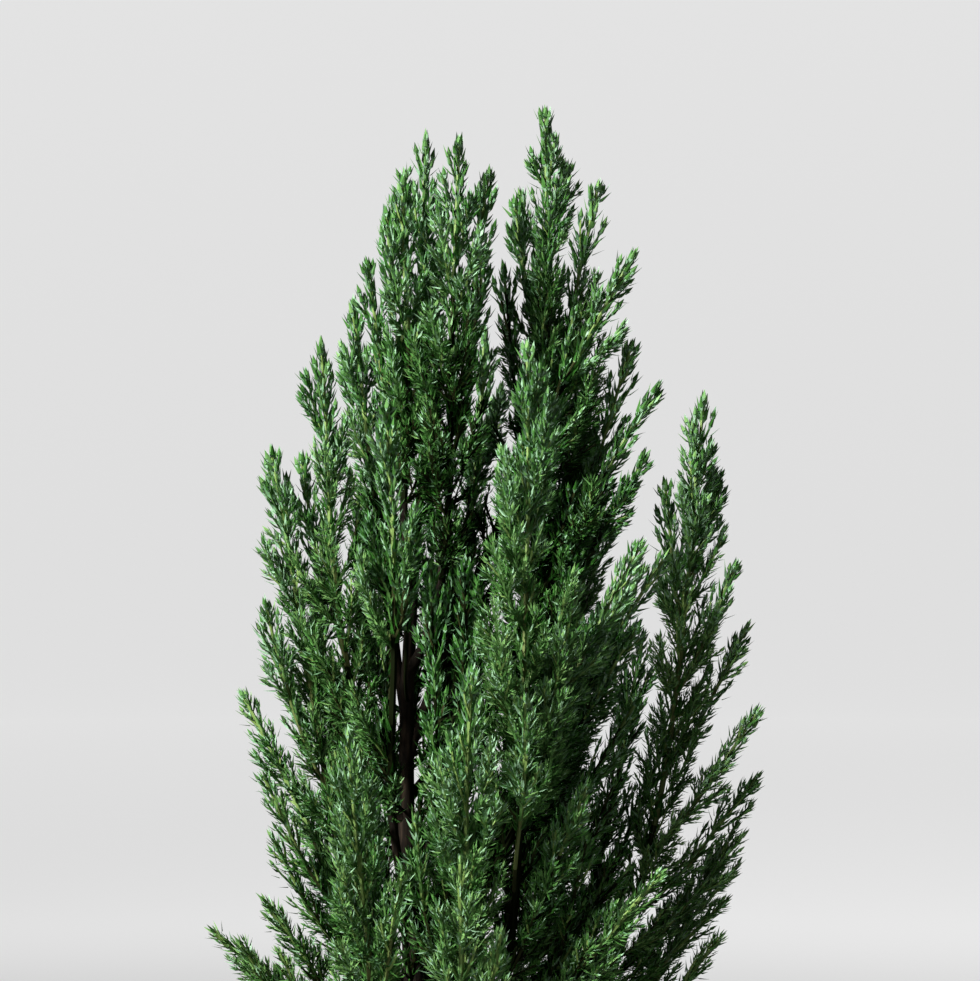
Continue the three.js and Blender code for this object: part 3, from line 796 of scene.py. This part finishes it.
def foliage(group, coarse, needle_materials, twig_materials):
    """The foliage of one group of leaders, in a piece of needles and one of twigs."""
    into = Values(coarse=coarse, needles=Gather(), twigs=Gather())
    members = [index for index, leader in enumerate(LEADERS) if leader.group == group]
    for index in members:
        leader = LEADERS[index]
        line = leader_line(index)
        bare = 0 if leader.foot == TRUNK.height else bough_length(line)
        grow_leader(index, line, bare, leader.spread, BOUGH.tip, into)
        side_leaders(leader, line, into)
    if group == "back":
        inner_sprays(into)
    for piece in (into.needles.piece(f"needles_{group}", needle_materials, GROUND),
                  into.twigs.piece(f"twigs_{group}", twig_materials, GROUND)):
        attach(piece, "root")
        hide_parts(*(f"foliage_{LEADERS[index].name}" for index in members))


# ---- materials ----

def set_inputs(node, values):
    """Sets some inputs of a node."""
    for name, value in dict(values).items():
        node.inputs[name].default_value = value


def new_material(name, roughness, gloss):
    """A material and its shader."""
    material = bpy.data.materials.new(name)
    material.use_nodes = True
    shader = material.node_tree.nodes["Principled BSDF"]
    set_inputs(shader, {"Roughness": roughness, "Specular IOR Level": gloss})
    return material, shader


def plain(name, color, roughness, gloss):
    """A material of one colour, for needles and twigs: their pattern is dealt out by spray."""
    material, shader = new_material(name, roughness, gloss)
    set_inputs(shader, {"Base Color": (*color, 1)})
    return material


def add_node(material, kind, values=()):
    """A new node of a material, with some inputs set."""
    node = material.node_tree.nodes.new("ShaderNode" + kind)
    set_inputs(node, values)
    return node


def join(material, *links):
    """Links of a material's nodes, each from an output to an input."""
    for source, output, target, socket in links:
        material.node_tree.links.new(source.outputs[output], target.inputs[socket])


def mottled(name):
    """A material of PATTERNS: colours mixed by a noise, with a finer grain."""
    rule = PATTERNS[name]
    material, shader = new_material(name, rule.roughness, NOISE.gloss)
    place = add_node(material, "TexCoord")
    mapping = add_node(material, "Mapping", {"Scale": rule.stretch})
    noise = add_node(material, "TexNoise", {"Scale": rule.scale, "Detail": NOISE.detail})
    ramp = add_node(material, "ValToRGB")
    stops = ramp.color_ramp.elements
    for number, (position, color) in enumerate(rule.colors):
        stop = stops[number] if number < 2 else stops.new(position)
        stop.position = position
        stop.color = (*color, 1)
    grain = add_node(material, "TexNoise", {"Scale": rule.grain, "Detail": NOISE.grain_detail})
    bump = add_node(material, "Bump", {"Strength": NOISE.bump, "Distance": rule.depth})
    join(material,
         (place, "Object", mapping, "Vector"), (mapping, "Vector", noise, "Vector"),
         (mapping, "Vector", grain, "Vector"), (noise, "Fac", ramp, "Fac"),
         (ramp, "Color", shader, "Base Color"), (grain, "Fac", bump, "Height"),
         (bump, "Normal", shader, "Normal"))
    return material


# ---- limbs ----

def ridges(turn, along, seed):
    """The bark's relief: long shallow ridges that run up the limb and drift round it."""
    random = np.random.default_rng(seed)
    relief = np.zeros(np.broadcast(turn, along).shape)
    for _ in range(RIDGES.waves):
        count = random.integers(*RIDGES.round)
        start = random.uniform(*ANY_TURN)
        pitch = random.uniform(*RIDGES.drift_pitch)
        drift = RIDGES.drift * np.sin(along * pitch + random.uniform(*ANY_TURN))
        relief += np.sin(count * turn + start + drift) / (RIDGES.fade + RIDGES.fade_share * count)
    return relief / RIDGES.fit


def limb(name, line, end, radius_at, rule, seed, material, node, level=False):
    """A limb with bark, closed at both ends, of rings that are square to it or level."""
    sides, steps = rule.sides, rule.steps
    along = np.linspace(0, end, steps)
    points = line.at(along)
    heading = line.heading(np.clip(along, 1, line.length - 1))
    if level:
        heading = np.broadcast_to(UP, heading.shape)
    size = radius_at(along)[:, None] * (1 + rule.relief * ridges(circle(sides), along[:, None], seed))
    vertices = ring_vertices(points, heading, SEAM, size, sides).reshape(-1, 3)
    vertices = np.vstack([vertices, points[:1], points[-1:]])
    foot, tip, last = len(vertices) - 2, len(vertices) - 1, (steps - 1) * sides
    caps = []
    for s in range(sides):
        caps += [(foot, (s + 1) % sides, s), (tip, last + s, last + (s + 1) % sides)]
    faces = np.vstack([ring_faces(steps, sides), caps])
    piece = mesh_piece(name, vertices * MM + (0, 0, GROUND), faces, [material], smooth=True)
    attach(piece, "root")
    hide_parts(node)
    return piece


def limbs(material):
    """The bark of the trunk and of every bough."""
    trunk = Line(trunk_line(np.linspace(0, 1, TRUNK.points)))

    def trunk_radius(along):
        share = along / trunk.length
        flare = TRUNK.flare * np.exp(-share * TRUNK.height / TRUNK.flare_height)
        return TRUNK.foot + (TRUNK.fork - TRUNK.foot) * share + flare

    piece = limb("trunk_bark", trunk, trunk.length, trunk_radius, TRUNK_BARK, SEEDS.trunk, material,
                 "trunk", level=True)
    for index, leader in enumerate(LEADERS):
        if leader.foot == TRUNK.height:
            continue
        line = leader_line(index)
        end = bough_length(line)

        def bough_radius(along, thick=leader.thick, end=end):
            collar = BOUGH.collar * np.exp(-along / BOUGH.collar_length)
            return thick + (BOUGH.tip - thick) * along / end + collar

        piece = limb(f"bark_{leader.name}", line, end, bough_radius, BOUGH_BARK, index, material,
                     f"bough_{leader.name}")


# ---- pot and compost ----

def lathe(name, outline, sides, material):
    """A solid of revolution from an outline of (radius, height)."""
    radius, height = (np.array(v, dtype=float) for v in zip(*outline))
    turn = circle(sides)
    level = np.broadcast_to(height[:, None], (len(radius), sides))
    vertices = np.stack([radius[:, None] * np.cos(turn), radius[:, None] * np.sin(turn), level], -1)
    a, b = around(len(radius), sides)
    faces = np.stack([a, b, b + sides, a + sides], -1)
    return mesh_piece(name, vertices.reshape(-1, 3) * MM, faces, [material], smooth=True)


def arc(radius, height, rounding, start, end, steps=6):
    """Points of a round edge about (radius, height), between two angles in degrees."""
    angles = np.radians(np.linspace(start, end, steps))
    return [(radius + rounding * math.cos(a), height + rounding * math.sin(a)) for a in angles]


def outer(z):
    """The pot's outer radius at a height, but for its rim."""
    return POT.foot + (POT.top - POT.foot) * z / POT.height


def span(stretch, start, end):
    """Heights along a stretch of the pot between its rounded edges."""
    past_start, past_end, points = stretch
    return np.linspace(start + past_start, end + past_end, points)


def pot(material):
    """The clay pot: a hollow taper with a thick rim, rounded at its edges."""
    top, floor, wall, out, edge = POT.height, POT.floor, POT.wall, POT.rim_out, POT_EDGES
    rim = top - POT.rim_height

    def rim_radius(z):
        return outer(z) + out - POT.rim_hollow * math.sin(math.pi * (z - rim) / POT.rim_height)

    outline = [(AXIS, 0)]
    outline += arc(POT.foot - edge.foot, edge.foot, edge.foot, -90, 0)
    outline += [(outer(z), z) for z in span(POT_SPANS.body, 0, rim)]
    outline += arc(outer(rim) + out - edge.under_rim, rim + edge.under_rim, edge.under_rim, -90, 0)
    outline += [(rim_radius(z), z) for z in span(POT_SPANS.rim, rim, top)]
    outline += arc(outer(top) + out - edge.rim, top - edge.rim, edge.rim, 0, 90)
    outline += arc(outer(top) - wall + edge.mouth, top - edge.mouth, edge.mouth, 90, 180)
    outline += [(outer(z) - wall, z) for z in span(POT_SPANS.inside, top, floor)]
    outline += [(AXIS, floor)]
    piece = lathe("clay_pot", outline, POT.sides, material)
    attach(piece, "root")
    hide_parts("pot")


def swells(x, y, random, waves, length):
    """A rolling surface, about -1 to 1, of some waves of about the given length."""
    height = np.zeros(np.broadcast(x, y).shape)
    for _ in range(waves):
        turn, phase = random.uniform(0, 2 * math.pi, 2)
        pitch = 2 * math.pi / (length * random.uniform(*SWELLS.length_range))
        height += np.sin((x * math.cos(turn) + y * math.sin(turn)) * pitch + phase)
    return height / math.sqrt(waves) / SWELLS.fit


def inside_pot(z):
    """The compost's radius at a height: it keeps clear of the solid pot's flat sides."""
    return (outer(z) - POT.wall) * math.cos(math.pi / POT.solid_sides) - COMPOST.gap


def compost_height(x, y):
    """The height of the compost's rough surface."""
    level = POT.height - COMPOST.drop
    edge = inside_pot(level)
    radii = (0, COMPOST.stand, COMPOST.shoulder * edge, edge)
    top = level + COMPOST.dome
    heights = (top, top, top - COMPOST.dome * (1 - COMPOST.shoulder), level)
    random = np.random.default_rng(SEEDS.surface)
    out = np.hypot(x, y)
    rough = sum(part * swells(x, y, random, waves, length) for part, waves, length in COMPOST.swells)
    loose = np.clip((out - COMPOST.calm) / COMPOST.calm_fade, 0, 1)
    return np.interp(out, radii, heights) + COMPOST.rough * (rough * loose - COMPOST.sunk)


def scattered(random, count, nearest, spread):
    """Places strewn evenly on the compost, from nearest the axis outwards, and their heights."""
    out = nearest + spread * np.sqrt(random.random(count))
    turn = random.uniform(0, 2 * math.pi, count)
    x, y = out * np.cos(turn), out * np.sin(turn)
    return x, y, compost_height(x, y)


def add_soil(gather):
    """The filling of the pot, closed below."""
    sides, floor = COMPOST.sides, POT.floor
    edge = inside_pot(POT.height - COMPOST.drop)
    turn = circle(sides)
    rings = [(AXIS, floor + COMPOST.gap), (inside_pot(floor), floor + COMPOST.gap)]
    rings += [(radius, None) for radius in np.linspace(edge, AXIS, COMPOST.rings)]
    vertices = []
    for radius, height in rings:
        x, y = radius * np.cos(turn), radius * np.sin(turn)
        z = compost_height(x, y) if height is None else np.full(sides, height)
        vertices.append(np.stack([x, y, z], -1))
    gather.add(np.array([vertices]), ring_faces(len(rings), sides))


def add_lumps(gather, random, edge):
    """Crumbs of eight faces on the compost."""
    count = LUMPS.count
    middle = np.stack(scattered(random, count, 0, edge - LUMPS.from_edge), -1)
    size = LUMPS.least + LUMPS.more * random.random(count) ** 3
    corners = np.array([(1, 0, 0), (-1, 0, 0), (0, 1, 0), (0, -1, 0), (0, 0, 1), (0, 0, -1)], dtype=float)
    reach = size[:, None] * random.uniform(*LUMPS.size_range, (count, len(corners)))
    eight = np.array([(0, 2, 4), (2, 1, 4), (1, 3, 4), (3, 0, 4), (2, 0, 5), (1, 2, 5), (3, 1, 5), (0, 3, 5)])
    gather.add(middle[:, None] + corners[None] * reach[..., None], eight)


def add_litter(gather, random, edge):
    """Fallen needles on the compost."""
    count = LITTER.count
    x, y, z = scattered(random, count, LITTER.from_axis, edge - LITTER.from_edge)
    turn = random.uniform(0, 2 * math.pi, count)
    rise = random.uniform(*LITTER.rise, count)
    headings = unit(np.stack([np.cos(turn), np.sin(turn), rise], -1))
    uppers = across(headings, UP)
    add_needles(gather, np.stack([x, y, z + LITTER.above], -1), headings, uppers,
                random.uniform(*LITTER.length, count), np.full(count, LITTER.width),
                np.ones((count, 2), dtype=int))


def compost(material, litter_material):
    """The compost: a rough dome that fills the pot, with crumbs and fallen needles on it."""
    random = np.random.default_rng(SEEDS.compost)
    edge = inside_pot(POT.height - COMPOST.drop)
    gather = Gather()
    add_soil(gather)
    add_lumps(gather, random, edge)
    add_litter(gather, random, edge)
    piece = gather.piece("compost_surface", [material, litter_material])
    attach(piece, "root")
    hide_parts("compost")


# ---- stage ----

def smooth_range(material, low, high, values=()):
    """A node that runs smoothly while its value runs from low to high."""
    node = add_node(material, "MapRange", {"From Min": low, "From Max": high, **dict(values)})
    node.interpolation_type = "SMOOTHSTEP"
    return node


def backdrop_material():
    """Pale paint that turns into an evenly lit screen away from the plant."""
    material, shader = new_material("studio_paint", STAGE.roughness, STAGE.gloss)
    set_inputs(shader, {"Base Color": (STAGE.paint,) * 3 + (1,), "Emission Color": (1, 1, 1, 1)})
    place = add_node(material, "TexCoord")
    apart = add_node(material, "VectorMath")
    apart.operation = "LENGTH"
    back = add_node(material, "SeparateXYZ")
    most = smooth_range(material, STAGE.dim_to, STAGE.bright_from,
                        {"To Min": STAGE.front_glow, "To Max": STAGE.glow})
    glow = smooth_range(material, STAGE.paint_to, STAGE.glow_from)
    join(material,
         (place, "Object", apart, 0), (place, "Object", back, "Vector"), (back, "Y", most, "Value"),
         (apart, "Value", glow, "Value"), (most, "Result", glow, "To Max"),
         (glow, "Result", shader, "Emission Strength"))
    return material


def studio_floor():
    """A round pale floor that curves up into a wall."""
    wall, curve, sides = FLOOR.wall, FLOOR.curve, FLOOR.sides
    outline = [(radius, 0) for radius in np.linspace(FLOOR.middle, wall - curve, FLOOR.rings)]
    outline += arc(wall - curve, curve, curve, -90, 0, FLOOR.curve_rings)
    outline += [(wall, FLOOR.height)]
    vertices = [(0, 0, 0)]
    for radius, height in outline:
        vertices += [(radius * math.cos(a), radius * math.sin(a), height) for a in circle(sides)]
    a, b = around(len(outline), sides)
    faces = [(0, 1 + s, 1 + (s + 1) % sides) for s in range(sides)]
    faces += (np.stack([a, a + sides, b + sides, b], -1) + 1).tolist()
    mesh = bpy.data.meshes.new("studio_floor")
    mesh.from_pydata(vertices, [], faces)
    mesh.polygons.foreach_set("use_smooth", [True] * len(faces))
    mesh.materials.append(backdrop_material())
    floor = shown("studio_floor", mesh)


def light():
    """A soft key light from the upper left, and a weak sky."""
    world = bpy.data.worlds.new("studio")
    world.use_nodes = True
    set_inputs(world.node_tree.nodes["Background"], {"Color": (1, 1, 1, 1), "Strength": STAGE.sky})
    bpy.context.scene.world = world

    key = bpy.data.lights.new("key", "AREA")
    key.shape = "DISK"
    key.size = STAGE.key_size
    key.spread = math.radians(STAGE.key_spread)
    key.energy = STAGE.key_power
    lamp = shown("key", key)
    toward = Vector(STAGE.key_side).normalized()
    lamp.location = Vector((0, 0, GROUND + STAGE.key_aim)) + toward * STAGE.key_distance
    lamp.rotation_euler = toward.to_track_quat("Z", "Y").to_euler()


def camera():
    """A level camera in front of the plant, which leaves the pot out below."""
    data = bpy.data.cameras.new("camera")
    data.sensor_width = VIEW.sensor
    data.lens = VIEW.sensor * VIEW.distance / VIEW.width
    data.clip_end = VIEW.far
    lens = shown("camera", data)
    lens.location = (VIEW.aside * MM, -VIEW.distance * MM, TOP - VIEW.below_top * MM)
    lens.rotation_euler = (math.pi / 2, 0, 0)
    bpy.context.scene.camera = lens
    bpy.context.scene.view_settings.view_transform = "Standard"


# ---- the scene ----

needle_materials = [plain(name, color, NEEDLE_ROUGHNESS, gloss) for name, color, gloss in NEEDLE_TINTS]
twig_materials = [plain(name, color, TWIG_ROUGHNESS, gloss) for name, color, gloss in TWIG_TINTS]
for group, coarse in GROUPS.items():
    foliage(group, coarse, needle_materials, twig_materials)
limbs(mottled("bark"))
pot(mottled("clay"))
compost(mottled("soil"), mottled("litter"))
studio_floor()
light()
camera()
